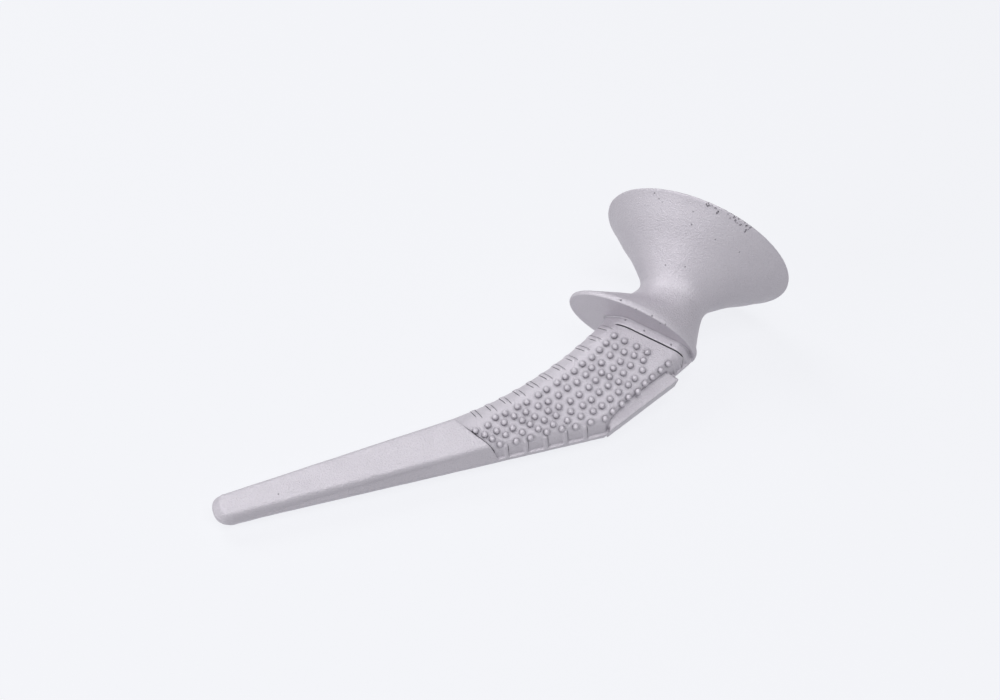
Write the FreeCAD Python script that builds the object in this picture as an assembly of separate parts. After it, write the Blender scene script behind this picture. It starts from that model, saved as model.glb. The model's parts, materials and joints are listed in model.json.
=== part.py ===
import FreeCAD, Part
import math
import os
import random

# A cast metal blank for a collared hip stem: a flat tapering blade with a
# beaded upper end, an oval collar, a round neck and a broad flared gate.
# Everything is modelled in the blade's own frame and then laid down at rest.
#   x along the blade, from the tip towards the collar
#   y towards the inner side, where the neck leans
#   z out of the front face
#   origin where the axis of the neck meets the axis of the blade
# Sizes are in millimetres and degrees.

# Blade outline
blade_reach = 130.4           # from the origin down to the tip
tip_outer = 3.3               # half widths at the tip, outer and inner side
tip_inner = 5.1
tip_corner_outer = 4.4        # rounding of the two corners of the tip
tip_corner_inner = 3.2
shoulder_x = -11.3            # where the straight outer edge turns up
shoulder_y = -11.4
shoulder_slope = 23.0         # of the outer edge above the shoulder
bend_x = -58.0                # where the inner edge starts to curve
bend_y = 7.3
bend_radius = 132.0           # of the curved inner edge
bend_sweep = 36.0             # how far that curve turns before it is trimmed
outer_top_reach = 13.9        # from there the outer edge runs along the neck axis
overrun = 12.0                # how far outlines run on before they are trimmed

# Blade section
land = 1.8                    # upright land round the middle of the edge
tip_half = 4.7                # half thickness at the tip
taper = 0.98                  # each face leans away from the middle plane
bevel_tip = 0.6               # how far the bevel reaches in from each edge
bevel_end = 2.4               # the same at the tip's end
bevel_outer = 3.6
bevel_inner = 1.4
tip_tighter = 1.0             # the corners round this much less up on the face
edge_cut = 0.9                # flat that breaks the edge where bevel and face meet
sunk = 0.75                   # the beaded face lies lower than the smooth one

# Beaded zone
step_x = -50.6                # where the slanted step crosses the blade axis
step_slant = 57.6             # of the step line from the blade axis
zone_bevel_outer = 3.1
zone_bevel_inner = 4.3
zone_cut = 1.0
pocket_depth = 0.8            # how far the pockets sink between outer ribs
collar_angle = 45.0           # between blade axis and neck axis

# Beads stand in rows that run parallel to the collar
bead_radius = 1.12            # at its foot
bead_top = 0.62               # radius of its flat top
bead_height = 1.3
bead_root = 0.8               # how deep a bead is rooted below the face
bead_sides = 6
bead_seed = 11                # picks how the beads stray from their rows
beads_in_row = [4, 4, 5, 6, 6, 6, 6, 6, 6, 6, 6, 7, 6, 6, 7, 6]   # from the step up
row_pitch = 3.13              # between rows
last_row_gap = 7.3            # from the last row to the underside of the collar
bead_inner_margin = 6.2       # from the inner edge to the first bead
bead_low_rows = 2             # the rows next to the step, which start further in
bead_low_margin = 7.4
bead_outer_margin = 0.7       # from the end of the flat face to the last bead
bead_scatter = 0.28
bare_places = {(14, 5), (15, 4)}   # row and place of beads that never formed

# Thin ribs across the inner bevel and broad ones across the outer bevel
inner_rib_count = 11
inner_rib_first = 10.8        # along the curved edge from its start
inner_rib_pitch = 4.9
inner_rib_width = 1.3
inner_rib_proud = 0.3
rib_fade = 1.3                # the thin ribs end this far below the face
rib_end = 1.5                 # how far the ribs run on under the face
outer_rib_first = 31.1        # from the shoulder down to the lowest one
outer_rib_pitch = 6.2
outer_rib_count = 5
outer_rib_width = 1.3
upper_rib_first = 27.9        # from the shoulder up to the short ribs past the fin
upper_rib_pitch = 2.1
upper_rib_count = 2
upper_rib_width = 0.9

# Fin along the outer edge. Its corners are given as the way past the shoulder
# and the way in from the outer edge.
fin_half = 3.2                # half thickness
fin_start = (1.1, -0.3)
fin_end = (27.7, -2.1)
fin_tail = (24.6, 3.0)
fin_root = [(1.9, 2.6), (8.8, 3.8), (24.4, 2.7)]
fin_corner = 0.4
fin_bite = 2.5                # how far it runs on inside the blade
fin_clear = 7.5               # how far the space above it reaches past its root

# Raised band round the blade just under the collar
band_width = 3.5
band_proud = 0.4
band_inner_bevel = 5.2
band_outer_bevel = 3.8

# Collar, neck and flare, along the neck axis from the origin
collar_under = 19.5
collar_rim = 1.6              # upright edge of the collar
collar_inner_reach = 28.1     # from the neck axis to the inner end
collar_outer_reach = 14.6
collar_half_width = 15.2
waist_at = 34.0
waist_radius = 10.9
waist_shift = 0.5             # the waist and the flare stand this far to the outer side
flare_end = 55.2
flare_radius = 30.5
rim_edge = 0.6                # upright edge of the flare's rim

# How the collar draws in to the waist: share of the height, then share of
# the way in that the inner end, the outer end and the half width have made
neck_shape = [(0.12, 0.20, 0.30, 0.15), (0.50, 0.80, 0.73, 0.73), (0.76, 0.955, 0.94, 0.94)]
# How the waist opens to the rim, as arcs through these points: share of the
# height, share of the way out
flare_shape = [(0.0, 0.0), (0.16, 0.06), (0.34, 0.225), (0.67, 0.60), (1.0, 1.0)]

V = FreeCAD.Vector
UP = V(0, 0, 1)
ALONG = V(1, 0, 0)
clear_of_all = 400.0          # larger than the whole blank
rest_mesh = 0.2               # fineness of the points that find the resting pose
first_lean = 8.0              # largest and smallest lean that the search for it tries
last_lean = 0.0005
lean_ways = 12                # directions tried round the present one


def turn(degrees):
    return math.radians(degrees)


def between(a, b, share):
    return a + (b - a) * share


def line(a, b):
    return Part.LineSegment(V(a[0], a[1], 0), V(b[0], b[1], 0)).toShape()


def arc(a, m, b):
    return Part.Arc(V(a[0], a[1], 0), V(m[0], m[1], 0), V(b[0], b[1], 0)).toShape()


def polygon(points):
    corners = [V(*p) for p in points]
    return Part.Face(Part.makePolygon(corners + corners[:1]))


neck_axis = V(math.cos(turn(collar_angle)), math.sin(turn(collar_angle)), 0)
outward = V(neck_axis.y, -neck_axis.x, 0)     # towards the outer side, along the collar

# The curved inner edge is an arc that starts along the straight inner edge
inner_slope = math.atan2(bend_y - tip_inner, bend_x + blade_reach)
bend_centre = (bend_x - bend_radius * math.sin(inner_slope),
               bend_y + bend_radius * math.cos(inner_slope))
lower_rise = (shoulder_y + tip_outer) / (shoulder_x + blade_reach)
shoulder_rise = math.tan(turn(shoulder_slope))


def on_bend(swept, inset=0.0):
    """Point on the curved inner edge, moved into the blade by an inset."""
    angle = inner_slope + swept
    reach = bend_radius + inset
    return (bend_centre[0] + reach * math.sin(angle),
            bend_centre[1] - reach * math.cos(angle))


def outer_y(x):
    """The outer edge of the blade."""
    rise = lower_rise if x < shoulder_x else shoulder_rise
    return shoulder_y + (x - shoulder_x) * rise


def outer_at(along, inset=0.0):
    """Point on the outer edge, moved in by an inset, this far along the neck axis."""
    at_shoulder = shoulder_x * neck_axis.x + (shoulder_y + inset) * neck_axis.y
    rise = lower_rise if along < at_shoulder else shoulder_rise
    x = shoulder_x + (along - at_shoulder) / (neck_axis.x + rise * neck_axis.y)
    return (x, outer_y(x) + inset)


def inner_at(along, inset=0.0):
    """Point on the curved inner edge, moved in by an inset, this far along the neck axis."""
    foot = neck_axis * along - V(*bend_centre, 0)
    half = foot.dot(outward)
    reach = bend_radius + inset
    point = neck_axis * along + outward * (math.sqrt(half * half - foot.dot(foot)
                                                     + reach * reach) - half)
    return (point.x, point.y)


def by_shoulder(past, inward):
    """Point given by the way past the shoulder and the way in from the outer edge."""
    x = shoulder_x + past
    return (x, outer_y(x) + inward)


def face_half(x):
    """Half thickness of the smooth face, before the beaded zone is sunk."""
    return tip_half + (x + blade_reach) * math.tan(turn(taper))


def mid_of_corner(centre, corner, radius):
    dx = corner[0] - centre[0]
    dy = corner[1] - centre[1]
    reach = math.hypot(dx, dy)
    return (centre[0] + dx * radius / reach, centre[1] + dy * radius / reach)


def tip_edges(outer_end, inner_end, left, outer_left, inner_left, corners):
    """The three sides of the tip with its two rounded corners."""
    low_slope = math.atan2(outer_end[1] - outer_left, outer_end[0] - left)
    high_slope = math.atan2(inner_end[1] - inner_left, inner_end[0] - left)
    low, high = corners
    low_cut = low * math.tan(math.pi / 4 - low_slope / 2)
    high_cut = high * math.tan(math.pi / 4 + high_slope / 2)
    a = (left + low_cut * math.cos(low_slope), outer_left + low_cut * math.sin(low_slope))
    b = (left, outer_left + low_cut)
    c = (left, inner_left - high_cut)
    d = (left + high_cut * math.cos(high_slope), inner_left + high_cut * math.sin(high_slope))
    low_centre = (left + low, b[1])
    high_centre = (left + high, c[1])
    return [line(outer_end, a),
            arc(a, mid_of_corner(low_centre, (left, outer_left), low), b),
            line(b, c),
            arc(c, mid_of_corner(high_centre, (left, inner_left), high), d),
            line(d, inner_end)]


def smooth_wire(inset_tip, inset_outer, inset_inner, inset_end, tighter):
    """Outline of the smooth lower blade, set in by the bevel, up to its end."""
    left = -blade_reach + inset_end
    smooth_end = step_x + overrun
    outer_end = (smooth_end, outer_y(smooth_end) + inset_outer)
    inner_end = on_bend(0, inset_inner)
    past_end = on_bend((smooth_end - bend_x) / bend_radius, inset_inner)
    halfway = on_bend((smooth_end - bend_x) / bend_radius / 2, inset_inner)
    corners = (tip_corner_outer - tighter, tip_corner_inner - tighter)
    edges = tip_edges(outer_end, inner_end, left, outer_y(left) + inset_tip,
                      tip_inner - inset_tip, corners)
    edges.append(arc(inner_end, halfway, past_end))
    edges.append(line(past_end, outer_end))
    return Part.Wire(edges)


def zone_wire(inset_outer, inset_inner):
    """Outline of the beaded upper blade, from below the step to past the collar."""
    below = step_x - 2 * overrun
    start_outer = (below, outer_y(below) + inset_outer)
    shoulder = (shoulder_x, shoulder_y + inset_outer)
    top_inset = (outer_top_reach - inset_outer - shoulder_x * outward.x
                 - (shoulder_y + inset_outer) * outward.y)
    top_x = shoulder_x + top_inset / (outward.x + shoulder_rise * outward.y)
    top = (top_x, outer_y(top_x) + inset_outer)
    far_outer = (top[0] + overrun * neck_axis.x, top[1] + overrun * neck_axis.y)
    bend_start = on_bend(0, inset_inner)
    straight = (bend_x - below) / math.cos(inner_slope)
    start_inner = (bend_start[0] - straight * math.cos(inner_slope),
                   bend_start[1] - straight * math.sin(inner_slope))
    half_inner = on_bend(turn(bend_sweep / 2), inset_inner)
    far_inner = on_bend(turn(bend_sweep), inset_inner)
    return Part.Wire([line(far_outer, top), line(top, shoulder), line(shoulder, start_outer),
                      line(start_outer, start_inner), line(start_inner, bend_start),
                      arc(bend_start, half_inner, far_inner), line(far_inner, far_outer)])


def lifted(wire, share, face_height):
    """The outline at a share of the way up from the land to the leaning face."""
    level = wire.copy()
    level.rotate(V(-blade_reach, 0, 0), V(0, 1, 0), -taper * share)
    level.translate(V(0, 0, between(land / 2, face_height, share)))
    return level


def half_blade(outline, insets, face_height, cut):
    """Front half of a blade: an upright land, a bevel, a broken edge and a leaning face."""
    edge, brow, crown = insets
    bevel_height = face_height - land / 2
    share = 1 - cut / bevel_height
    levels = [lifted(outline(*edge), 0, face_height),
              lifted(outline(*[between(a, b, share) for a, b in zip(edge, brow)]), share, face_height),
              lifted(outline(*crown), 1, face_height)]
    slab = Part.Face(outline(*edge)).extrude(V(0, 0, land / 2))
    return slab.fuse(Part.makeLoft(levels, True, True))


# Cutting planes, each a large block on one side of the plane
def block_beyond(point, direction):
    """Block that fills the side of a plane to which the direction points."""
    block = Part.makeBox(clear_of_all, clear_of_all, clear_of_all,
                         V(-clear_of_all / 2, -clear_of_all / 2, 0))
    block.Placement = FreeCAD.Placement(point, FreeCAD.Rotation(UP, direction))
    return block


def above_collar():
    return block_beyond(neck_axis * (collar_under + collar_rim / 2), neck_axis)


def past_step():
    direction = V(math.sin(turn(step_slant)), math.cos(turn(step_slant)), 0)
    return block_beyond(V(step_x, 0, 0), direction)


def on_collar_frame(along, across, height):
    """Point from its place along the neck axis, across it and out of the face."""
    return neck_axis * along + outward * across + UP * height


def blade():
    edge = [0, 0, 0, 0, 0]
    brow = [bevel_tip, bevel_outer, bevel_inner, bevel_end, tip_tighter]
    crown = [inset + edge_cut for inset in brow]
    smooth = half_blade(smooth_wire, (edge, brow, crown), tip_half, edge_cut).cut(past_step())
    zone_edge = [pocket_depth, 0]
    zone_brow = [zone_bevel_outer, zone_bevel_inner]
    zone_crown = [inset + zone_cut for inset in zone_brow]
    zone = half_blade(zone_wire, (zone_edge, zone_brow, zone_crown), tip_half - sunk, zone_cut)
    strip = Part.Face(zone_wire(0, 0)).extrude(V(0, 0, land / 2))
    zone = zone.multiFuse([strip] + outer_ribs() + inner_ribs())
    zone = zone.common(past_step()).cut(above_collar())
    return smooth.fuse(zone)


def zone_half(x):
    """Height of the beaded face above the middle plane."""
    return face_half(x) - sunk


def rib_plate(start, inward, width, bevel, proud, fade):
    """Plate across a bevel, from the edge to where it ends below the face."""
    base = V(start[0], start[1], 0)
    along = V(inward[0], inward[1], 0)
    side = along.cross(UP)
    top = zone_half(start[0])
    rise = bevel / (top - land / 2)
    profile = [(-proud, 0), (-proud, land / 2), (bevel - proud - fade * rise, top - fade),
               (bevel + rib_end, top - fade), (bevel + rib_end, 0)]
    corners = [tuple(base + along * a + UP * h - side * (width / 2)) for a, h in profile]
    return polygon(corners).extrude(side * width)


def outer_ribs():
    ribs = []
    for number in range(outer_rib_count):
        start = by_shoulder(number * outer_rib_pitch - outer_rib_first, 0)
        ribs.append(rib_plate(start, (0, 1), outer_rib_width, zone_bevel_outer, 0, 0))
    lean = turn(shoulder_slope)
    inward = (-math.sin(lean), math.cos(lean))
    for number in range(upper_rib_count):
        start = by_shoulder(upper_rib_first + number * upper_rib_pitch, 0)
        ribs.append(rib_plate(start, inward, upper_rib_width, zone_bevel_outer, 0, 0))
    return ribs


def inner_ribs():
    ribs = []
    for number in range(inner_rib_count):
        swept = (inner_rib_first + number * inner_rib_pitch) / bend_radius
        angle = inner_slope + swept
        inward = (math.sin(angle), -math.cos(angle))
        ribs.append(rib_plate(on_bend(swept), inward, inner_rib_width, zone_bevel_inner,
                              inner_rib_proud, rib_fade))
    return ribs


def fin():
    """Half of the flat fin, and the space above it that its top leaves open."""
    root = [by_shoulder(*place) for place in fin_root]
    start = by_shoulder(*fin_start)
    end = by_shoulder(*fin_end)
    tail = by_shoulder(*fin_tail)
    inside = [(x - fin_bite, y + fin_bite) for x, y in root[1:]]
    outline = [root[0], inside[0], inside[1], tail, end, start]
    half = polygon([(x, y, 0) for x, y in outline]).extrude(V(0, 0, fin_half))
    corner = [e for e in half.Edges if is_upright_at(e, end)]
    half = half.makeFillet(fin_corner, corner)
    open_side = [(root[2][0] + fin_bite, root[2][1] - fin_clear), (root[0][0], root[0][1] - fin_clear)]
    space = polygon([(x, y, fin_half) for x, y in root + open_side])
    return half, space.extrude(V(0, 0, tip_half + fin_half))


def is_upright_at(edge, place):
    """True for the edge that stands straight up over this place."""
    level = edge.Vertexes[0].Z
    return all(V(v.X, v.Y, level).isEqual(V(*place, level), rest_mesh) for v in edge.Vertexes)


def bead(x, y):
    """Faceted bead with its root in the blade."""
    level = zone_half(x)
    flare_out = (bead_radius - bead_top) / bead_height
    rings = []
    for height, radius in ((-bead_root, bead_radius + flare_out * bead_root), (bead_height, bead_top)):
        ring = []
        for number in range(bead_sides):
            angle = 2 * math.pi * number / bead_sides
            ring.append(V(x + radius * math.cos(angle), y + radius * math.sin(angle),
                          level + height))
        rings.append(ring)
    lower, upper = rings
    faces = [polygon(lower[::-1]), polygon(upper)]
    for number in range(bead_sides):
        after = (number + 1) % bead_sides
        faces.append(polygon([lower[number], lower[after], upper[after], upper[number]]))
    return Part.Solid(Part.Shell(faces))


def bead_places():
    scatter = random.Random(bead_seed)
    places = []
    for row, count in enumerate(beads_in_row):
        offset = collar_under - last_row_gap - (len(beads_in_row) - 1 - row) * row_pitch
        a = inner_at(offset, bead_low_margin if row < bead_low_rows else bead_inner_margin)
        b = outer_at(offset, zone_bevel_outer + bead_outer_margin)
        for number in range(count):
            shift_x = scatter.uniform(-bead_scatter, bead_scatter)
            shift_y = scatter.uniform(-bead_scatter, bead_scatter)
            if (row, number) in bare_places:
                continue
            share = number / (count - 1)
            places.append((a[0] + share * (b[0] - a[0]) + shift_x,
                           a[1] + share * (b[1] - a[1]) + shift_y))
    return places


def band():
    """Half of the raised band just under the collar."""
    start = collar_under - band_width
    inner_end = V(*inner_at(start), 0)
    outer_end = V(*outer_at(start), 0)
    inner = inner_end.dot(outward)
    outer = outer_end.dot(outward)
    profile = [(inner, 0), (inner, land / 2),
               (inner + band_inner_bevel, zone_half(inner_end.x) + band_proud),
               (outer - band_outer_bevel, zone_half(outer_end.x) + band_proud),
               (outer, land / 2), (outer, 0)]
    corners = [tuple(on_collar_frame(start, a, h)) for a, h in profile]
    return polygon(corners).extrude(neck_axis * (band_width + collar_rim / 2))


def oval(height, inner_reach, outer_reach, half_width):
    """Oval across the neck axis, from its inner end to its outer end."""
    shape = Part.Wire(Part.Circle(V(0, 0, 0), UP, 1).toShape())
    stretch = FreeCAD.Matrix()
    stretch.scale((outer_reach + inner_reach) / 2, half_width, 1)
    shape = shape.transformGeometry(stretch)
    centre = on_collar_frame(height, (outer_reach - inner_reach) / 2, 0)
    shape.Placement = FreeCAD.Placement(centre, FreeCAD.Rotation(outward, UP, neck_axis, "ZXY"))
    return shape


def flare():
    """The flare, turned about its own axis from arcs, with its upright rim."""
    rise = flare_end - rim_edge - waist_at
    points = [V(between(waist_radius, flare_radius, out), 0, waist_at + rise * height)
              for height, out in flare_shape]
    rim = V(flare_radius, 0, flare_end)
    profile = [Part.LineSegment(V(0, 0, waist_at), points[0]).toShape(),
               Part.Arc(*points[:3]).toShape(), Part.Arc(*points[2:]).toShape(),
               Part.LineSegment(points[-1], rim).toShape(),
               Part.LineSegment(rim, V(0, 0, flare_end)).toShape(),
               Part.LineSegment(V(0, 0, flare_end), V(0, 0, waist_at)).toShape()]
    turned = Part.Face(Part.Wire(profile)).revolve(V(0, 0, 0), UP, 360)
    turned.Placement = FreeCAD.Placement(outward * waist_shift,
                                         FreeCAD.Rotation(outward, UP, neck_axis, "ZXY"))
    return turned


def collar_and_neck():
    rim = (collar_inner_reach, collar_outer_reach, collar_half_width)
    waist = (waist_radius - waist_shift, waist_radius + waist_shift, waist_radius)
    low = collar_under + collar_rim
    collar = Part.Face(oval(collar_under, *rim)).extrude(neck_axis * collar_rim)
    sections = [oval(low, *rim)]
    for height, inner, outer, width in neck_shape:
        sections.append(oval(between(low, waist_at, height),
                             between(rim[0], waist[0], inner),
                             between(rim[1], waist[1], outer),
                             between(rim[2], waist[2], width)))
    sections.append(oval(waist_at, *waist))
    return collar.fuse(Part.makeLoft(sections, True, False)).fuse(flare())


def mirrored(shape):
    return shape.mirror(V(0, 0, 0), UP)


def casting():
    front = blade()
    fin_body, fin_space = fin()
    front = front.cut(fin_space).multiFuse([fin_body, band()])
    beads = [bead(x, y) for x, y in bead_places()]
    front = front.multiFuse(beads)
    whole = front.fuse(mirrored(front)).fuse(collar_and_neck())
    return whole.removeSplitter()


def height_of_weight(up, points, weight):
    """Height of the centre of weight over a table, with this direction up."""
    lowest = min(up.dot(point) for point in points)
    return up.dot(weight) - lowest


def settle(points, weight):
    """Direction that ends up on top when the blank is let go face up."""
    up = UP
    best = height_of_weight(up, points, weight)
    step = turn(first_lean)
    while step > turn(last_lean):
        side = up.cross(ALONG).normalize()
        over = up.cross(side)
        tries = []
        for number in range(lean_ways):
            angle = 2 * math.pi * number / lean_ways
            lean = side * math.cos(angle) + over * math.sin(angle)
            tries.append((up * math.cos(step) + lean * math.sin(step)).normalize())
        heights = [height_of_weight(t, points, weight) for t in tries]
        if min(heights) < best:
            best = min(heights)
            up = tries[heights.index(best)]
        else:
            step /= 2
    return up


def laid_down(solid):
    """Rest the blank on a table with its blade along X, and centre its foot."""
    rough = solid.tessellate(rest_mesh)[0]
    up = settle(rough, solid.CenterOfMass)
    heading = (ALONG - up * up.x).normalize()
    rest = FreeCAD.Rotation(heading, up.cross(heading), up, "ZXY").inverted()
    turned = [rest.multVec(point) for point in rough]
    low = [min(p[i] for p in turned) for i in range(3)]
    high = [max(p[i] for p in turned) for i in range(3)]
    foot = V((low[0] + high[0]) / 2, (low[1] + high[1]) / 2, low[2])
    return FreeCAD.Placement(foot * -1, rest)


os.makedirs("parts", exist_ok=True)
body = casting()
print("solids", len(body.Solids), "valid", body.isValid(), "volume", round(body.Volume, 1))
solid = body.Solids[0]
resting = laid_down(solid)
solid.Placement = resting
solid.exportStep("parts/stem_casting.step")
middle_of_seat = on_collar_frame(collar_under, -(waist_radius + collar_inner_reach) / 2, 0)
middle_of_gate = on_collar_frame(flare_end, waist_shift, 0)
for name, place, axis in (("gate_face", middle_of_gate, neck_axis),
                          ("collar_seat", middle_of_seat, neck_axis * -1)):
    at = resting.multVec(place)
    along = resting.Rotation.multVec(axis)
    print(name, [round(v, 4) for v in at], [round(v, 6) for v in along])
print("placement", resting.Base, resting.Rotation.Q)
print("weight", solid.CenterOfMass)
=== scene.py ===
import json
import math
import random

import bmesh
import bpy
from mathutils import Matrix, Vector, noise
from mathutils.bvhtree import BVHTree


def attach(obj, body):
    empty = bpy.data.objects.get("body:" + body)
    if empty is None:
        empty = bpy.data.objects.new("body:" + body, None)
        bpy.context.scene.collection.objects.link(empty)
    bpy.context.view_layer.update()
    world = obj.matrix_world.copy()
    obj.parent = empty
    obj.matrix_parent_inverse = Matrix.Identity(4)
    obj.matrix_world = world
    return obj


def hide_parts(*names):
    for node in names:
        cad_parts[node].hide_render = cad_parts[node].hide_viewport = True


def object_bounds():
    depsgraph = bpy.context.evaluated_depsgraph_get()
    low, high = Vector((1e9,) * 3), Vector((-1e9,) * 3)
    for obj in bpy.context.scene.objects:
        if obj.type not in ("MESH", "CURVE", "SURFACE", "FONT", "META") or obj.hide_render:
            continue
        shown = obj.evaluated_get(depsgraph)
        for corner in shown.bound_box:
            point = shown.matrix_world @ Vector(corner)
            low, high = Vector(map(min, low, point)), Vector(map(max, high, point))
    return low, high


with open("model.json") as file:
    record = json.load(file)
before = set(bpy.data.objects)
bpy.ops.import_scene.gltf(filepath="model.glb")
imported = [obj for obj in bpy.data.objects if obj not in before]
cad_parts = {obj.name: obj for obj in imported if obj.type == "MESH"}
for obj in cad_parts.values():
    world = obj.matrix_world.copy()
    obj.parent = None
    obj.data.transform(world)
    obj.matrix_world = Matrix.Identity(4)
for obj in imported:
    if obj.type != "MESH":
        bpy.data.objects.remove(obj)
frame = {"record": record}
cadLow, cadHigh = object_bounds()
print("frame loaded")

# The casting is shaped in millimetres in the blade's own frame and laid down at the end.
# x runs up the blade to the collar, y to the inner side where the neck leans, z out of the front.
# The origin is where the axis of the neck meets the axis of the blade.
mm = 0.001
lean = math.radians(45.0)
neckWay = Vector((math.cos(lean), math.sin(lean), 0))
acrossWay = Vector((math.sin(lean), -math.cos(lean), 0))      # across the neck, to the outer side
frontWay = Vector((0, 0, 1))
middle = -1.0                                                 # the front shells start behind the middle
hair = 0.01                                                   # nearer than this counts as touching

blade = {
    "reach": 130.4,                   # from the origin down to the tip
    "tipOuter": 3.3,                  # half widths at the tip
    "tipInner": 5.1,
    "tipRounds": (4.4, 3.2),          # outer and inner corner
    "shoulder": (-11.3, -11.4),       # where the outer edge turns up
    "shoulderRise": math.tan(math.radians(23.0)),
    "bendStart": (-58.0, 7.3),        # where the inner edge starts to curve
    "bendRadius": 132.0,
    "bendSweep": math.radians(36.0),
    "topReach": 13.9,                 # there the outer edge turns along the neck
    "overrun": 12.0,
    "land": 0.9,                      # half height of the upright land on the edge
    "tipHalf": 4.7,
    "taper": math.tan(math.radians(0.98)),
    "sunk": 0.75,                     # the beaded face lies lower than the smooth one
    "soft": (2.1, 2.0),               # rounding of the face's edge, outer and inner side
    "zoneSoft": (4.2, 8.5),
    "softSteps": 6,
    "stepX": -50.6,
    "stepWay": math.radians(57.6),
    "pocket": 0.8,
    "arcSteps": 24,
}


def onNeck(along, across=0.0, up=0.0):
    return neckWay * along + acrossWay * across + frontWay * up


innerSlope = math.atan2(blade["bendStart"][1] - blade["tipInner"], blade["bendStart"][0] + blade["reach"])
bendCentre = Vector((blade["bendStart"][0] - blade["bendRadius"] * math.sin(innerSlope),
                     blade["bendStart"][1] + blade["bendRadius"] * math.cos(innerSlope), 0))
lowerRise = (blade["shoulder"][1] + blade["tipOuter"]) / (blade["shoulder"][0] + blade["reach"])


def onBend(swept, inset=0.0):
    angle = innerSlope + swept
    return bendCentre + Vector((math.sin(angle), -math.cos(angle), 0)) * (blade["bendRadius"] + inset)


def outerY(x):
    fromShoulder = x - blade["shoulder"][0]
    return blade["shoulder"][1] + fromShoulder * (lowerRise if fromShoulder < 0 else blade["shoulderRise"])


def outerAt(along, inset=0.0):                                # on the outer edge, this far along the neck
    shoulder = Vector((blade["shoulder"][0], blade["shoulder"][1] + inset, 0))
    past = along - shoulder.dot(neckWay)
    rise = lowerRise if past < 0 else blade["shoulderRise"]
    x = shoulder.x + past / (neckWay.x + rise * neckWay.y)
    return Vector((x, outerY(x) + inset, 0))


def innerAt(along, inset=0.0):                                # on the curved inner edge
    foot = neckWay * along - bendCentre
    half = foot.dot(acrossWay)
    out = math.sqrt(half * half - foot.length_squared + (blade["bendRadius"] + inset) ** 2) - half
    return neckWay * along + acrossWay * out


def byShoulder(past, inward):
    x = blade["shoulder"][0] + past
    return Vector((x, outerY(x) + inward, 0))


def faceZ(x):
    return blade["tipHalf"] + (x + blade["reach"]) * blade["taper"]


def zoneZ(x):
    return faceZ(x) - blade["sunk"]


def mix(a, b, share):
    return a + (b - a) * share


# Mesh helpers
def ring(bm, points):
    verts = [bm.verts.new(p) for p in points]
    return [bm.edges.new(pair) for pair in zip(verts, verts[1:] + verts[:1])]


def skinned(bm, rings):                                       # walls between rings, a face on each end
    for low, high in zip(rings, rings[1:]):
        bmesh.ops.bridge_loops(bm, edges=low + high)
    for end in (rings[0], rings[-1]):
        bmesh.ops.edgeloop_fill(bm, edges=end)
    bmesh.ops.recalc_face_normals(bm, faces=bm.faces)


def trimmed(bm, point, away):                                 # cuts off what lies beyond a plane
    cut = bmesh.ops.bisect_plane(bm, geom=bm.verts[:] + bm.edges[:] + bm.faces[:], plane_co=point,
                                 plane_no=away, clear_outer=True)
    edges = [e for e in cut["geom_cut"] if isinstance(e, bmesh.types.BMEdge)]
    bmesh.ops.holes_fill(bm, edges=edges, sides=0)


smallRoundSteps = 3


def softened(bm, edges, offset, segments=smallRoundSteps):
    bmesh.ops.bevel(bm, geom=edges, offset=offset, segments=segments, profile=0.5, affect="EDGES",
                    material=-1, clamp_overlap=True)


def prism(points, low, high, soft=0.0):                       # an upright block over a flat outline
    bm = bmesh.new()
    base = ring(bm, [p + frontWay * low for p in points])
    top = ring(bm, [p + frontWay * high for p in points])
    skinned(bm, [base, top])
    if soft:
        softened(bm, [e for e in bm.edges if max(v.co.z for v in e.verts) > high - hair], soft)
    return bm


def roundedCorner(before, corner, after, radius, steps=8):    # an arc that touches both of its sides
    a = (before - corner).normalized()
    b = (after - corner).normalized()
    half = a.angle(b) / 2
    centre = corner + (a + b).normalized() * radius / math.sin(half)
    spoke = corner + a * radius / math.tan(half) - centre
    last = corner + b * radius / math.tan(half) - centre
    sweep, axle = spoke.angle(last), spoke.cross(last)
    return [centre + Matrix.Rotation(sweep * i / steps, 3, axle) @ spoke for i in range(steps + 1)]


def moved(source, target):                                    # pours one bmesh into another
    mesh = bpy.data.meshes.new("poured")
    source.to_mesh(mesh)
    source.free()
    target.from_mesh(mesh)
    bpy.data.meshes.remove(mesh)


def dressed(bm, kind, settings):                              # the bmesh after one modifier
    mesh = bpy.data.meshes.new("work")
    bm.to_mesh(mesh)
    bm.free()
    work = bpy.data.objects.new("work", mesh)
    bpy.context.scene.collection.objects.link(work)
    modifier = work.modifiers.new(kind, kind)
    for name, value in settings.items():
        setattr(modifier, name, value)
    bpy.context.view_layer.update()
    result = bpy.data.meshes.new_from_object(work.evaluated_get(bpy.context.evaluated_depsgraph_get()))
    bpy.data.objects.remove(work)
    bpy.data.meshes.remove(mesh)
    done = bmesh.new()
    done.from_mesh(result)
    bpy.data.meshes.remove(result)
    return done


def combined(bm, tool, operation, solver):                    # the bmesh after a boolean with the tool
    mesh = bpy.data.meshes.new("tool")
    tool.to_mesh(mesh)
    tool.free()
    cutter = bpy.data.objects.new("tool", mesh)
    bpy.context.scene.collection.objects.link(cutter)
    done = dressed(bm, "BOOLEAN", {"operation": operation, "object": cutter, "solver": solver})
    bpy.data.objects.remove(cutter)
    bpy.data.meshes.remove(mesh)
    return done


# Smooth lower blade
smoothEdge = {"tip": 0.0, "outer": 0.0, "inner": 0.0, "end": 0.0, "tighter": 0.0}
smoothFace = {"tip": 0.6, "outer": 3.6, "inner": 1.4, "end": 2.4, "tighter": 1.0}
stepWay = Vector((math.sin(blade["stepWay"]), math.cos(blade["stepWay"]), 0))


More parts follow.
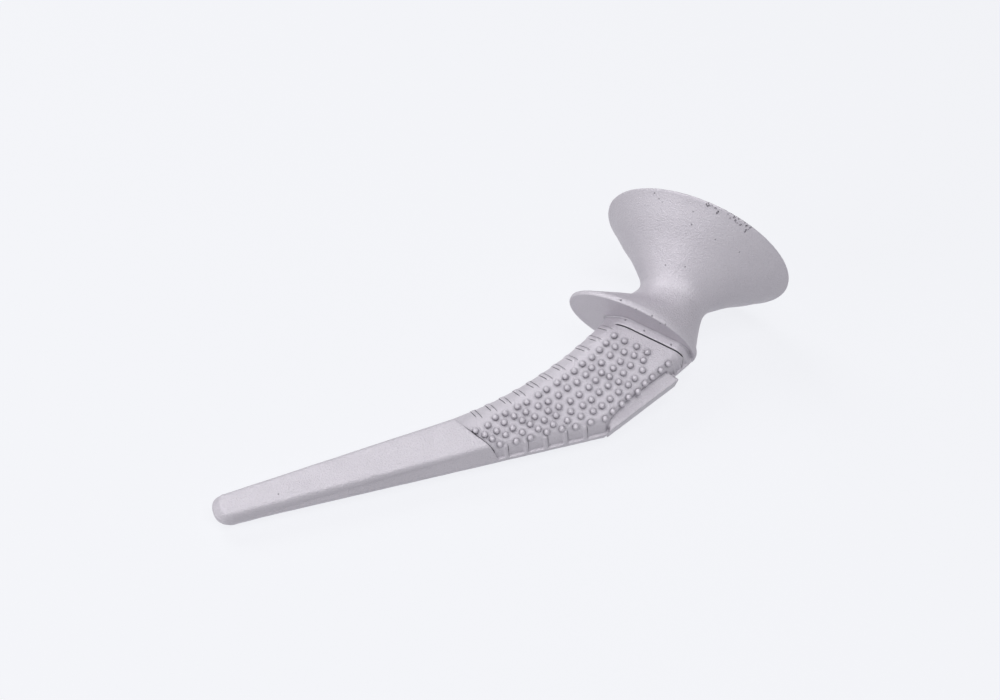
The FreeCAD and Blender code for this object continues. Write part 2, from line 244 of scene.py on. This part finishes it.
def smoothOutline(inset):
    left = -blade["reach"] + inset["end"]
    right = blade["stepX"] + blade["overrun"]
    outerEnd = Vector((right, outerY(right) + inset["outer"], 0))
    outerCorner = Vector((left, outerY(left) + inset["tip"], 0))
    innerCorner = Vector((left, blade["tipInner"] - inset["tip"], 0))
    sweep = (right - blade["bendStart"][0]) / blade["bendRadius"]
    bend = [onBend(sweep * i / blade["arcSteps"], inset["inner"]) for i in range(blade["arcSteps"] + 1)]
    rounds = [radius - inset["tighter"] for radius in blade["tipRounds"]]
    return ([outerEnd] + roundedCorner(outerEnd, outerCorner, innerCorner, rounds[0])
            + roundedCorner(outerCorner, innerCorner, bend[0], rounds[1]) + bend)


def shell(edge, face, level, softness):                       # upright land, bevel, soft edge, leaning face
    bm = bmesh.new()
    profiles = []
    firstInner = len(face) - blade["arcSteps"] - 1            # from there on the outline is the inner edge
    for i, (foot, crest) in enumerate(zip(edge, face)):
        way = (face[(i + 1) % len(face)] - face[i - 1]).normalized()
        inward = Vector((way.y, -way.x, 0))
        rise = level(crest.x) - blade["land"]
        under = crest - inward * (crest - foot).dot(inward) + frontWay * blade["land"]
        lifted = crest + frontWay * level(crest.x)
        radius = softness[1] if i >= firstInner else softness[0]
        profiles.append([foot + frontWay * middle, foot + frontWay * blade["land"]]
                        + roundedCorner(under, lifted, lifted + inward * rise, radius, blade["softSteps"]))
    skinned(bm, [ring(bm, points) for points in zip(*profiles)])
    return bm


def smoothBlade():
    bm = shell(smoothOutline(smoothEdge), smoothOutline(smoothFace), faceZ, blade["soft"])
    trimmed(bm, Vector((blade["stepX"], 0, 0)), stepWay)
    return bm


# Beaded upper blade
zone = {
    "bevelOuter": 3.1, "bevelInner": 4.3,
    "under": 1.2,                     # how far it starts inside the smooth blade
    "strip": 1.15, "stripRound": 0.3, # the ridge that closes the pockets
}
collar = {"under": 19.5, "rim": 1.6, "inner": 28.1, "outer": 14.6, "half": 15.2, "edge": 0.35,
          "edgeBend": 0.3}


def zoneOutline(outer, inner):
    below = blade["stepX"] - 2 * blade["overrun"]
    shoulder = Vector((blade["shoulder"][0], blade["shoulder"][1] + outer, 0))
    topPast = (blade["topReach"] - outer - shoulder.dot(acrossWay)) \
        / (acrossWay.x + blade["shoulderRise"] * acrossWay.y)
    top = shoulder + Vector((topPast, topPast * blade["shoulderRise"], 0))
    start = onBend(0, inner)
    straight = (blade["bendStart"][0] - below) / math.cos(innerSlope)
    bend = [onBend(blade["bendSweep"] * i / blade["arcSteps"], inner) for i in range(blade["arcSteps"] + 1)]
    return ([top + neckWay * blade["overrun"], top, shoulder, Vector((below, outerY(below) + outer, 0)),
             start - Vector((math.cos(innerSlope), math.sin(innerSlope), 0)) * straight] + bend)


def beadedBlade():
    bm = shell(zoneOutline(blade["pocket"], 0), zoneOutline(zone["bevelOuter"], zone["bevelInner"]),
               zoneZ, blade["zoneSoft"])
    bm = combined(bm, finSpace(), "DIFFERENCE", "EXACT")
    moved(prism(zoneOutline(0, 0), middle, zone["strip"], zone["stripRound"]), bm)
    for rib in outerRibs() + innerRibs():
        moved(rib, bm)
    trimmed(bm, Vector((blade["stepX"], 0, 0)) - stepWay * zone["under"], -stepWay)
    trimmed(bm, onNeck(collar["under"] + collar["rim"] / 2), neckWay)
    return bm


# Ribs across the two bevels
ribs = {
    "outerFirst": 31.1, "outerPitch": 6.2, "outerCount": 5, "outerWidth": 1.4,
    "outerFade": 0.8,                 # the ribs end this far below the face
    "upperFirst": 27.9, "upperPitch": 2.1, "upperCount": 2, "upperWidth": 0.9,
    "innerFirst": 10.8, "innerPitch": 4.9, "innerCount": 11, "innerWidth": 1.4, "innerProud": 0.22,
    "innerFade": 1.3, "round": 0.35, "roundSteps": 2,
}


def ribPlate(start, inward, width, bevel, proud, fade):
    top = zoneZ(start.x)
    rise = bevel / (top - blade["land"])
    run = zone["under"] + bevel
    side = inward.cross(frontWay)
    profile = [(-proud, middle), (-proud, blade["land"]), (bevel - proud - fade * rise, top - fade),
               (run, top - fade), (run, middle)]
    bm = bmesh.new()
    ends = [ring(bm, [start + inward * a + frontWay * h + side * (width * s) for a, h in profile])
            for s in (-0.5, 0.5)]
    skinned(bm, ends)
    crests = [e for e in bm.edges if min(v.co.z for v in e.verts) > middle + ribs["round"]]
    softened(bm, crests, ribs["round"], ribs["roundSteps"])
    return bm


def outerRibs():
    bevel, fade = zone["bevelOuter"], ribs["outerFade"]
    made = []
    for number in range(ribs["outerCount"]):
        start = byShoulder(number * ribs["outerPitch"] - ribs["outerFirst"], 0)
        made.append(ribPlate(start, Vector((0, 1, 0)), ribs["outerWidth"], bevel, 0, fade))
    rise = math.atan(blade["shoulderRise"])
    inward = Vector((-math.sin(rise), math.cos(rise), 0))
    for number in range(ribs["upperCount"]):
        start = byShoulder(ribs["upperFirst"] + number * ribs["upperPitch"], 0)
        made.append(ribPlate(start, inward, ribs["upperWidth"], bevel, 0, fade))
    return made


def innerRibs():
    made = []
    for number in range(ribs["innerCount"]):
        swept = (ribs["innerFirst"] + number * ribs["innerPitch"]) / blade["bendRadius"]
        inward = (onBend(swept, 1) - onBend(swept)).normalized()
        made.append(ribPlate(onBend(swept), inward, ribs["innerWidth"], zone["bevelInner"],
                             ribs["innerProud"], ribs["innerFade"]))
    return made


# Fin along the outer edge above the shoulder. Corners are (way past the shoulder, way in from the edge)
fin = {
    "half": 3.2, "start": (1.1, -0.3), "end": (27.7, -2.1), "tail": (24.6, 3.0),
    "root": [(1.9, 2.6), (8.8, 3.8), (24.4, 2.7)], "bite": 2.5, "round": 0.4,
    "openBelow": 7.5, "openAbove": 9.4,
}


def finPlate():
    root = [byShoulder(*place) for place in fin["root"]]
    bite = Vector((-fin["bite"], fin["bite"], 0))
    outline = [root[0], root[1] + bite, root[2] + bite, byShoulder(*fin["tail"]), byShoulder(*fin["end"]),
               byShoulder(*fin["start"])]
    return prism(outline, middle, fin["half"], fin["round"])


def finSpace():                                               # what stays open above the fin
    root = [byShoulder(*place) for place in fin["root"]]
    below = Vector((0, -fin["openBelow"], 0))
    outline = root + [root[2] + Vector((fin["bite"], 0, 0)) + below, root[0] + below]
    return prism(outline, fin["half"], fin["half"] + fin["openAbove"])


# Band just under the collar
band = {
    "width": 2.6, "proud": 0.4, "innerBevel": 5.2, "outerBevel": 3.8, "round": 0.3,
    "soft": 2.4, "softSteps": 8,
    "creaseIn": 1.5, "creaseOut": 2.4, "creaseGap": 0.15,     # where the line below it runs
}


def bandShell():
    start = collar["under"] - band["width"]
    innerEnd, outerEnd = innerAt(start), outerAt(start)
    a, b = innerEnd.dot(acrossWay), outerEnd.dot(acrossWay)
    profile = [(a, middle), (a, blade["land"]), (a + band["innerBevel"], zoneZ(innerEnd.x) + band["proud"]),
               (b - band["outerBevel"], zoneZ(outerEnd.x) + band["proud"]), (b, blade["land"]), (b, middle)]
    bm = bmesh.new()
    rings = [ring(bm, [onNeck(along, across, up) for across, up in profile])
             for along in (start, collar["under"] + collar["rim"] / 2)]
    skinned(bm, rings)
    lengthwise = [e for e in bm.edges if min(v.co.z for v in e.verts) > blade["land"] + band["round"]
                  and abs((e.verts[0].co - e.verts[1].co).dot(neckWay)) > band["round"]]
    softened(bm, lengthwise, band["soft"], band["softSteps"])
    lower = [e for e in bm.edges
             if all(abs(v.co.dot(neckWay) - start) < hair and v.co.z > 0 for v in e.verts)]
    softened(bm, lower, band["round"])
    return bm


# Beads stand in rows parallel to the collar
beads = {
    "radius": 1.0, "lift": 0.42, "pitch": 3.13, "lastGap": 7.3, "innerMargin": 6.2, "outerMargin": 0.7,
    "lowRows": 2, "lowMargin": 7.4,   # the rows next to the step start further in
    "scatter": 0.28, "seed": 11, "subdivisions": 2,
    "inRow": [4, 4, 5, 6, 6, 6, 6, 6, 6, 6, 6, 7, 6, 6, 7, 6],
    "bare": {(14, 5), (15, 4)},       # row and place in it where no bead stands
}


def beadPlaces():
    chance = random.Random(beads["seed"])
    wide = beads["scatter"]
    places = []
    for row, count in enumerate(beads["inRow"]):
        along = collar["under"] - beads["lastGap"] - (len(beads["inRow"]) - 1 - row) * beads["pitch"]
        a = innerAt(along, beads["lowMargin" if row < beads["lowRows"] else "innerMargin"])
        b = outerAt(along, zone["bevelOuter"] + beads["outerMargin"])
        for number in range(count):
            shift = Vector((chance.uniform(-wide, wide), chance.uniform(-wide, wide), 0))
            if (row, number) not in beads["bare"]:
                places.append(a.lerp(b, number / (count - 1)) + shift)
    return places


def beadBalls(body):
    tree = BVHTree.FromBMesh(body)
    bm = bmesh.new()
    for place in beadPlaces():
        for side in (1, -1):
            hit, normal = onSkin(tree, place, frontWay * -side)
            bmesh.ops.create_icosphere(bm, subdivisions=beads["subdivisions"], radius=beads["radius"],
                                       matrix=Matrix.Translation(hit + normal * beads["lift"]))
    return bm


# Fine sharp lines of the casting, cut as V grooves that follow the skin
grooves = {
    "wide": 0.34, "deep": 0.34, "above": 0.5, "thinEnd": 0.25, "spacing": 0.6,
    "ribSpot": 0.72, "ribFrom": -0.1, "ribTo": 4.2,   # on the collar side of each inner rib
    "markTo": 3.2,                    # the shorter one on its other side
    "stepSpot": 0.2, "stepInner": 6.1, "stepOuter": -8.6,
    "barSpot": 0.8, "barFrom": 0.6, "barTo": 3.3,     # on the collar side of each outer rib
    "bandEnd": [(0.0, 0.0), (0.9, 0.8), (1.9, 1.1)],  # the crease turns down there: way down, way out
}


def onSkin(tree, place, way):                                 # where a line that way meets the skin
    outside = 4 * blade["tipHalf"]
    hit, normal, _, _ = tree.ray_cast(place - way * (outside + place.dot(way)), way)
    return hit, normal


def groove(tree, bm, ends, way, wide=1.0, deep=1.0):
    steps = max(2, round((ends[-1] - ends[0]).length / grooves["spacing"]))
    points = [ends[0].lerp(ends[1], i / steps) for i in range(steps + 1)]
    seats = [seat for seat in (onSkin(tree, p, way) for p in points) if seat[0]]
    last = len(seats) - 1
    rings = []
    wedge = bmesh.new()
    for i, (spot, normal) in enumerate(seats):
        along = (seats[min(i + 1, last)][0] - seats[max(i - 1, 0)][0]).normalized()
        size = grooves["thinEnd"] if i in (0, last) else 1.0
        half = normal.cross(along).normalized() * (grooves["wide"] * wide * size / 2)
        up = normal * grooves["above"]
        bottom = spot - normal * (grooves["deep"] * deep * size)
        rings.append(ring(wedge, [bottom, spot + half, spot + half + up, spot - half + up, spot - half]))
    skinned(wedge, rings)
    moved(wedge, bm)


def bandLines():                                              # along the band's lower edge and down its end
    start = collar["under"] - band["width"] - band["creaseGap"]
    a = innerAt(start).dot(acrossWay) + band["innerBevel"] - band["creaseIn"]
    b = outerAt(start).dot(acrossWay) - band["creaseOut"]
    corner = onNeck(start, b)
    lines = [([onNeck(start, a), corner], 1.3, 1.6)]
    for up, down in zip(grooves["bandEnd"], grooves["bandEnd"][1:]):
        spots = [corner - neckWay * along + acrossWay * out for along, out in (up, down)]
        lines.append((spots, 1.0, 1.0))
    return lines


def ribLines():                                               # beside each inner rib
    spot = grooves["ribSpot"]
    lines = []
    for number in range(ribs["innerCount"]):
        swept = (ribs["innerFirst"] + number * ribs["innerPitch"]) / blade["bendRadius"]
        inward = (onBend(swept, 1) - onBend(swept)).normalized()
        along = inward.cross(frontWay) * -1
        for shift, far in ((spot, grooves["ribTo"]), (-spot, grooves["markTo"])):
            foot = onBend(swept) + along * shift
            lines.append(([foot + inward * grooves["ribFrom"], foot + inward * far], 0.8, 0.55))
    return lines


def barLines():                                               # beside each outer rib
    lines = []
    for number in range(ribs["outerCount"]):
        foot = byShoulder(number * ribs["outerPitch"] - ribs["outerFirst"] + grooves["barSpot"], 0)
        lines.append(([foot + Vector((0, y, 0)) for y in (grooves["barFrom"], grooves["barTo"])], 0.7, 0.5))
    return lines


def stepLine():
    foot = Vector((blade["stepX"], 0, 0)) + stepWay * grooves["stepSpot"]
    run = Vector((-stepWay.y, stepWay.x, 0))
    return [([foot + run * grooves["stepInner"], foot + run * grooves["stepOuter"]], 1.2, 1.2)]


# Marks of the casting: pits, nicks on the rims and the rough scar on the flare's rim
marks = {
    "pits": [(-111.3, -0.5, 5.0), (24.6, 51.4, 22.4), (25.3, 49.2, 22.3), (25.8, 47.8, 22.4),
             (32.4, 40.7, 26.4), (31.5, 37.9, 23.6), (43.3, 26.1, 21.1), (23.2, 31.9, 11.3),
             (27.9, 28.8, 14.1), (36.9, 31.4, 23.1)],
    "pitRadius": 0.3,
    "nicks": [(4.7, 24.1, 14.4), (7.9, 19.7, 14.9), (11.9, 16.4, 14.9), (13.8, 13.8, 13.6),
              (15.1, 12.8, 14.0), (6.3, 20.4, 6.6), (10.5, 15.2, 6.7), (16.8, 8.4, 6.9)],
    "nickRadius": 0.42, "above": 0.25,                        # the ball's middle, in its own radii
    "scarFrom": 68.0, "scarTo": 97.0, "scarCount": 46, "scarBand": 1.7, "scarRadius": (0.2, 0.5),
    "scarSpread": 0.5, "seed": 5,
}


def markSpots():
    spots = [(Vector(place), marks["pitRadius"]) for place in marks["pits"]]
    spots += [(Vector(place), marks["nickRadius"]) for place in marks["nicks"]]
    gateAt, gateRadius, gateShift = neck["gate"]
    chance = random.Random(marks["seed"])
    for _ in range(marks["scarCount"]):
        angle = math.radians(chance.uniform(marks["scarFrom"], marks["scarTo"]))
        back = abs(chance.gauss(0, marks["scarSpread"])) * marks["scarBand"]
        out = Vector((math.cos(angle), math.sin(angle))) * (gateRadius - back)
        place = onNeck(gateAt - back, gateShift + out.x, out.y)
        spots.append((place, chance.uniform(*marks["scarRadius"])))
    return spots


def fineLines(body):                                          # all the grooves and marks as one cutter
    tree = BVHTree.FromBMesh(body)
    bm = bmesh.new()
    for side in (1, -1):
        for ends, wide, deep in bandLines() + ribLines() + barLines() + stepLine():
            groove(tree, bm, ends, frontWay * -side, wide, deep)
    for place, radius in markSpots():
        hit, normal, _, _ = tree.find_nearest(place)
        bmesh.ops.create_icosphere(bm, subdivisions=1, radius=radius,
                                   matrix=Matrix.Translation(hit + normal * radius * marks["above"]))
    return bm


# Collar, neck and flare, as ovals across the neck: along it, inner reach, outer reach, half width
neck = {
    "waist": (34.0, 10.9, 0.5), "gate": (55.2, 30.5, 0.5), "rimEdge": 0.6, "rimRound": 0.2, "sides": 120,
    "between": 7,                     # rings between two known sections
    "shape": [(0.12, 0.20, 0.30, 0.15), (0.27, 0.44, 0.48, 0.39), (0.50, 0.80, 0.73, 0.73),
              (0.76, 0.955, 0.94, 0.94)],
    "flare": [(0.16, 0.06), (0.34, 0.225), (0.54, 0.434), (0.74, 0.69), (0.93, 0.908)],
}


def spindleSections():
    rim = (collar["inner"], collar["outer"], collar["half"])
    waistAt, waistRadius, waistShift = neck["waist"]
    gateAt, gateRadius, gateShift = neck["gate"]
    waist = (waistRadius - waistShift, waistRadius + waistShift, waistRadius)
    low, high = collar["under"] + collar["rim"], gateAt - neck["rimEdge"]
    sections = [(low, *rim)]
    for height, *shares in neck["shape"]:
        sections.append((mix(low, waistAt, height), *[mix(r, w, s) for r, w, s in zip(rim, waist, shares)]))
    sections.append((waistAt, *waist))
    for height, out in neck["flare"]:
        radius, shift = mix(waistRadius, gateRadius, out), mix(waistShift, gateShift, height)
        sections.append((mix(waistAt, high, height), radius - shift, radius + shift, radius))
    sections.append((high, gateRadius - gateShift, gateRadius + gateShift, gateRadius))
    return sections


def smoothed(sections):                                       # a smooth curve through the sections
    slopes = []
    for i in range(len(sections)):
        a, b = sections[max(i - 1, 0)], sections[min(i + 1, len(sections) - 1)]
        slopes.append([(q - p) / (b[0] - a[0]) for p, q in zip(a, b)])
    made = []
    for (a, b), (s, t) in zip(zip(sections, sections[1:]), zip(slopes, slopes[1:])):
        gap = b[0] - a[0]
        for step in range(neck["between"]):
            u = step / neck["between"]
            made.append([(2 * u ** 3 - 3 * u ** 2 + 1) * p + (u ** 3 - 2 * u ** 2 + u) * gap * m
                         + (3 * u ** 2 - 2 * u ** 3) * q + (u ** 3 - u ** 2) * gap * n
                         for p, q, m, n in zip(a, b, s, t)])
    return made + [list(sections[-1])]


def drawnIn(section, along, inset):
    return (along, section[1] - inset, section[2] - inset, section[3] - inset)


def ovalRing(bm, along, inner, outer, half):
    place = Matrix.Translation(onNeck(along, (outer - inner) / 2))
    turn = Matrix((acrossWay, frontWay, neckWay)).transposed().to_4x4()
    size = Matrix.Diagonal(((outer + inner) / 2, half, 1, 1))
    made = bmesh.ops.create_circle(bm, cap_ends=False, segments=neck["sides"], radius=1,
                                   matrix=place @ turn @ size)
    return list(dict.fromkeys(e for v in made["verts"] for e in v.link_edges))


def spindle():
    bm = bmesh.new()
    sections = smoothed(spindleSections())
    foot, top = sections[0], sections[-1]
    under, edge = collar["under"], collar["edge"]
    bend = edge * collar["edgeBend"]
    rows = [drawnIn(foot, under, edge), drawnIn(foot, under + bend, bend),
            drawnIn(foot, under + edge, 0), drawnIn(foot, foot[0] - edge, 0),
            drawnIn(foot, foot[0] - bend, bend)]
    gateAt, small = neck["gate"][0], neck["rimRound"]
    rows += sections[1:]
    rows += [drawnIn(top, gateAt - small, 0), drawnIn(top, gateAt, small)]
    skinned(bm, [ovalRing(bm, *row) for row in rows])
    return bm


skin = {
    "voxel": 0.21, "smooth": 2, "smoothShare": 0.5, "wave": 5.5, "waveDeep": 0.06,
    "grain": 1.1, "grainDeep": 0.018,
    "most": 140000,                   # triangles before the beads are set on
    "crease": math.radians(38),       # sharper edges than this stay crisp
}


def whole():
    front = smoothBlade()
    for part in (beadedBlade(), finPlate(), bandShell()):
        moved(part, front)
    back = front.copy()
    bmesh.ops.scale(back, vec=(1, 1, -1), verts=back.verts)
    bmesh.ops.reverse_faces(back, faces=back.faces)
    moved(back, front)
    moved(spindle(), front)
    return front


def worn(bm):                                                 # the slight waves and grain of a cast skin
    bm.normal_update()
    for v in bm.verts:
        co = v.co
        push = skin["waveDeep"] * noise.noise(co / skin["wave"]) - skin["waveDeep"] / 2
        push += skin["grainDeep"] * noise.noise(co / skin["grain"])
        v.co = co + v.normal * push


def laidDown():                                               # from the blade's frame to the resting frame
    gate = next(m for m in frame["record"]["mounts"] if m["name"] == "gate_face")
    axis = Vector(gate["axis"])
    flat = math.hypot(axis.x, axis.z)
    pitch = math.atan2(axis.z, axis.x) - math.acos(math.cos(lean) / flat)
    bladeDown = Vector((math.cos(pitch), 0, math.sin(pitch)))
    innerDown = (axis - bladeDown * math.cos(lean)) / math.sin(lean)
    turn = Matrix((bladeDown, innerDown, bladeDown.cross(innerDown))).transposed()
    foot = Vector(gate["pos_m"]) - turn @ onNeck(neck["gate"][0], neck["gate"][2]) * mm
    return Matrix.Translation(foot) @ turn.to_4x4()


def shapeCasting():
    bm = whole()
    print("shells built:", len(bm.faces), "faces")
    voxel = skin["voxel"] * 1
    bm = dressed(bm, "REMESH", {"mode": "VOXEL", "voxel_size": voxel, "use_smooth_shade": True})
    print("one skin:", len(bm.verts), "points")
    for _ in range(skin["smooth"]):
        bmesh.ops.smooth_vert(bm, verts=bm.verts, factor=skin["smoothShare"], use_axis_x=True,
                              use_axis_y=True, use_axis_z=True)
    worn(bm)
    triangles = 2 * len(bm.faces)
    bm = dressed(bm, "DECIMATE", {"decimate_type": "COLLAPSE", "ratio": min(1, skin["most"] / triangles)})
    balls = beadBalls(bm)
    bm = combined(bm, fineLines(bm), "DIFFERENCE", "MANIFOLD")
    bm = combined(bm, balls, "UNION", "MANIFOLD")
    bmesh.ops.transform(bm, matrix=laidDown() @ Matrix.Scale(mm, 4), verts=bm.verts)
    bmesh.ops.triangulate(bm, faces=bm.faces)
    mesh = bpy.data.meshes.new("casting")
    bm.to_mesh(mesh)
    bm.free()
    mesh.shade_smooth()
    mesh.set_sharp_from_angle(angle=skin["crease"])
    casting = bpy.data.objects.new("casting", mesh)
    bpy.context.scene.collection.objects.link(casting)
    print("casting done:", len(mesh.polygons), "triangles")
    return casting


# Materials
class Wire:                                                   # a socket that can be reckoned with
    def __init__(self, sheet, socket):
        self.sheet = sheet
        self.socket = socket

    def reckon(self, operation, a, b):
        return self.sheet.node("ShaderNodeMath", {"operation": operation}, {0: a, 1: b})

    def __add__(self, other):
        return self.reckon("ADD", self, other)

    def __sub__(self, other):
        return self.reckon("SUBTRACT", self, other)

    def __rsub__(self, other):
        return self.reckon("SUBTRACT", other, self)

    def __mul__(self, other):
        return self.reckon("MULTIPLY", self, other)

    __radd__ = __add__
    __rmul__ = __mul__


class Sheet:                                                  # the nodes of a material or the world
    def __init__(self, owner):
        owner.use_nodes = True
        self.tree = owner.node_tree
        self.tree.nodes.clear()

    def node(self, kind, settings=None, sockets=None, out=0):
        made = self.tree.nodes.new(kind)
        for name, value in (settings or {}).items():
            setattr(made, name, value)
        for name, value in (sockets or {}).items():
            if isinstance(value, Wire):
                self.tree.links.new(value.socket, made.inputs[name])
            else:
                made.inputs[name].default_value = value
        return Wire(self, made.outputs[out]) if made.outputs else made


metal = {
    "light": (0.72, 0.685, 0.735, 1), "dark": (0.58, 0.55, 0.60, 1), "metallic": 0.45, "rough": 0.50,
    "grain": 2100.0, "grainShare": 1.1, "mottle": 120.0, "mottleShare": 0.5, "toneShift": -0.3,
    "bump": 0.0003, "bumpShare": 0.8, "roughSpread": 0.16,
    "foldShade": (0.20, 0.19, 0.22, 1), "foldShadeShare": 1.5, "foldShadeReach": 0.0010,    # painted shade, darker in the folds
}


def blastedMetal():
    material = bpy.data.materials.new("blasted_metal")
    sheet = Sheet(material)
    place = sheet.node("ShaderNodeTexCoord", out="Object")
    grain = sheet.node("ShaderNodeTexNoise", {}, {"Vector": place, "Scale": metal["grain"], "Detail": 2.0,
                                                  "Roughness": 0.6})
    mottle = sheet.node("ShaderNodeTexNoise", {}, {"Vector": place, "Scale": metal["mottle"], "Detail": 4.0,
                                                   "Roughness": 0.65})
    # Painted shade: ambient occlusion within about a millimetre darkens the base colour in folds, creases
    # and around the feet of the beads
    shadeInFolds = 1 - sheet.node("ShaderNodeAmbientOcclusion", {"only_local": True, "samples": 8},
                            {"Distance": metal["foldShadeReach"]}, out="AO")
    tone = mottle * metal["mottleShare"] + grain * metal["grainShare"] + metal["toneShift"]
    unshadedTone = sheet.node("ShaderNodeMix", {"data_type": "RGBA", "clamp_factor": False},
                       {0: tone, 6: metal["dark"], 7: metal["light"]}, out=2)
    # The painted shade pulls the base colour toward dark grey where the folds close in
    colour = sheet.node("ShaderNodeMix", {"data_type": "RGBA"},
                        {0: shadeInFolds * metal["foldShadeShare"], 6: unshadedTone, 7: metal["foldShade"]}, out=2)
    bump = sheet.node("ShaderNodeBump", {}, {"Strength": metal["bumpShare"], "Distance": metal["bump"],
                                             "Height": grain})
    surface = sheet.node("ShaderNodeBsdfPrincipled", {}, {
        "Base Color": colour, "Metallic": metal["metallic"],
        "Roughness": (grain - 0.5) * metal["roughSpread"] + metal["rough"], "Normal": bump})
    sheet.node("ShaderNodeOutputMaterial", {}, {"Surface": surface})
    return material


# Floor, world, lamps and camera
studio = {
    "pale": (0.905, 0.913, 0.947, 1), "fill": 0.04, "floorBounce": 0.62, "floorCatch": 0.16,
    "floorLevel": 0.62, "floorSize": 8.0, "floorDrop": 0.0003,
}


def paleSwitch(sheet):                                        # 1 where the eye or a mirror looks
    path = "ShaderNodeLightPath"
    seen = sheet.node(path, out="Is Camera Ray") + sheet.node(path, out="Is Glossy Ray")
    return sheet.node("ShaderNodeMath", {"operation": "ADD", "use_clamp": True},
                      {0: seen, 1: sheet.node(path, out="Is Transmission Ray")})


def paleWorld():
    world = bpy.data.worlds.new("studio")
    bpy.context.scene.world = world
    sheet = Sheet(world)
    fill = sheet.node("ShaderNodeBackground", {}, {"Color": studio["pale"], "Strength": studio["fill"]})
    shown = sheet.node("ShaderNodeBackground", {}, {"Color": studio["pale"], "Strength": 1.0})
    both = sheet.node("ShaderNodeMixShader", {}, {0: paleSwitch(sheet), 1: fill, 2: shown})
    sheet.node("ShaderNodeOutputWorld", {}, {"Surface": both})


def paleFloor():
    bm = bmesh.new()
    bmesh.ops.create_grid(bm, x_segments=1, y_segments=1, size=studio["floorSize"] / 2)
    bmesh.ops.translate(bm, verts=bm.verts, vec=(0, 0, cadLow.z - studio["floorDrop"]))
    mesh = bpy.data.meshes.new("floor")
    bm.to_mesh(mesh)
    bm.free()
    floor = bpy.data.objects.new("floor", mesh)
    bpy.context.scene.collection.objects.link(floor)
    material = bpy.data.materials.new("pale_floor")
    sheet = Sheet(material)
    catch = [c * studio["floorCatch"] for c in studio["pale"][:3]] + [1]
    bounce = [c * studio["floorBounce"] for c in studio["pale"][:3]] + [1]
    shown = 1 - studio["floorCatch"] * studio["floorLevel"]   # the lamps add the rest
    own = sheet.node("ShaderNodeEmission", {}, {"Color": studio["pale"], "Strength": shown})
    matt = sheet.node("ShaderNodeBsdfDiffuse", {}, {"Color": catch})
    seen = sheet.node("ShaderNodeAddShader", {}, {0: own, 1: matt})
    back = sheet.node("ShaderNodeBsdfDiffuse", {}, {"Color": bounce})
    both = sheet.node("ShaderNodeMixShader", {}, {0: paleSwitch(sheet), 1: back, 2: seen})
    sheet.node("ShaderNodeOutputMaterial", {}, {"Surface": both})
    mesh.materials.append(material)


# Where each lamp hangs in the blade's frame, in millimetres, then its size in metres and its watts
lamps = {
    "over": ((0, 0, 1020), 0.5, 3.5),
    "left": ((-1000, 0, 350), 0.6, 3.3),
    "far": ((-250, 900, 450), 0.6, 3.0),
}


def hangLamps():
    aim = laidDown() @ Vector((0, 0, 0))
    for name, (spot, size, watts) in lamps.items():
        place = laidDown() @ (Vector(spot) * mm)
        light = bpy.data.lights.new(name, "AREA")
        light.size = size
        light.energy = watts
        lamp = bpy.data.objects.new(name, light)
        lamp.location = place
        lamp.visible_camera = False
        lamp.rotation_euler = (aim - place).to_track_quat("-Z", "Y").to_euler()
        bpy.context.scene.collection.objects.link(lamp)


# Where it stands in the blade's frame, in millimetres and degrees
camera = {
    "place": (-207.930, -191.669, 674.097), "turn": (21.1337, -7.7161, -19.9507), "lens": 86.4,
    "sensor": 36.0,
}


def standCamera():
    data = bpy.data.cameras.new("camera")
    data.lens = camera["lens"]
    data.sensor_width = camera["sensor"]
    eye = bpy.data.objects.new("camera", data)
    bpy.context.scene.collection.objects.link(eye)
    turn = Matrix.Rotation(math.radians(camera["turn"][2]), 4, "Z") \
        @ Matrix.Rotation(math.radians(camera["turn"][1]), 4, "Y") \
        @ Matrix.Rotation(math.radians(camera["turn"][0]), 4, "X")
    down = laidDown()
    place = down @ (Vector(camera["place"]) * mm)
    eye.matrix_world = Matrix.Translation(place) @ down.to_3x3().to_4x4() @ turn
    bpy.context.scene.camera = eye


casting = shapeCasting()
casting.data.materials.append(blastedMetal())
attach(casting, "root")
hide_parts("stem_casting")
print("metal on")

paleWorld()
paleFloor()
hangLamps()
standCamera()
bpy.context.scene.view_settings.view_transform = "Standard"
print("studio set")
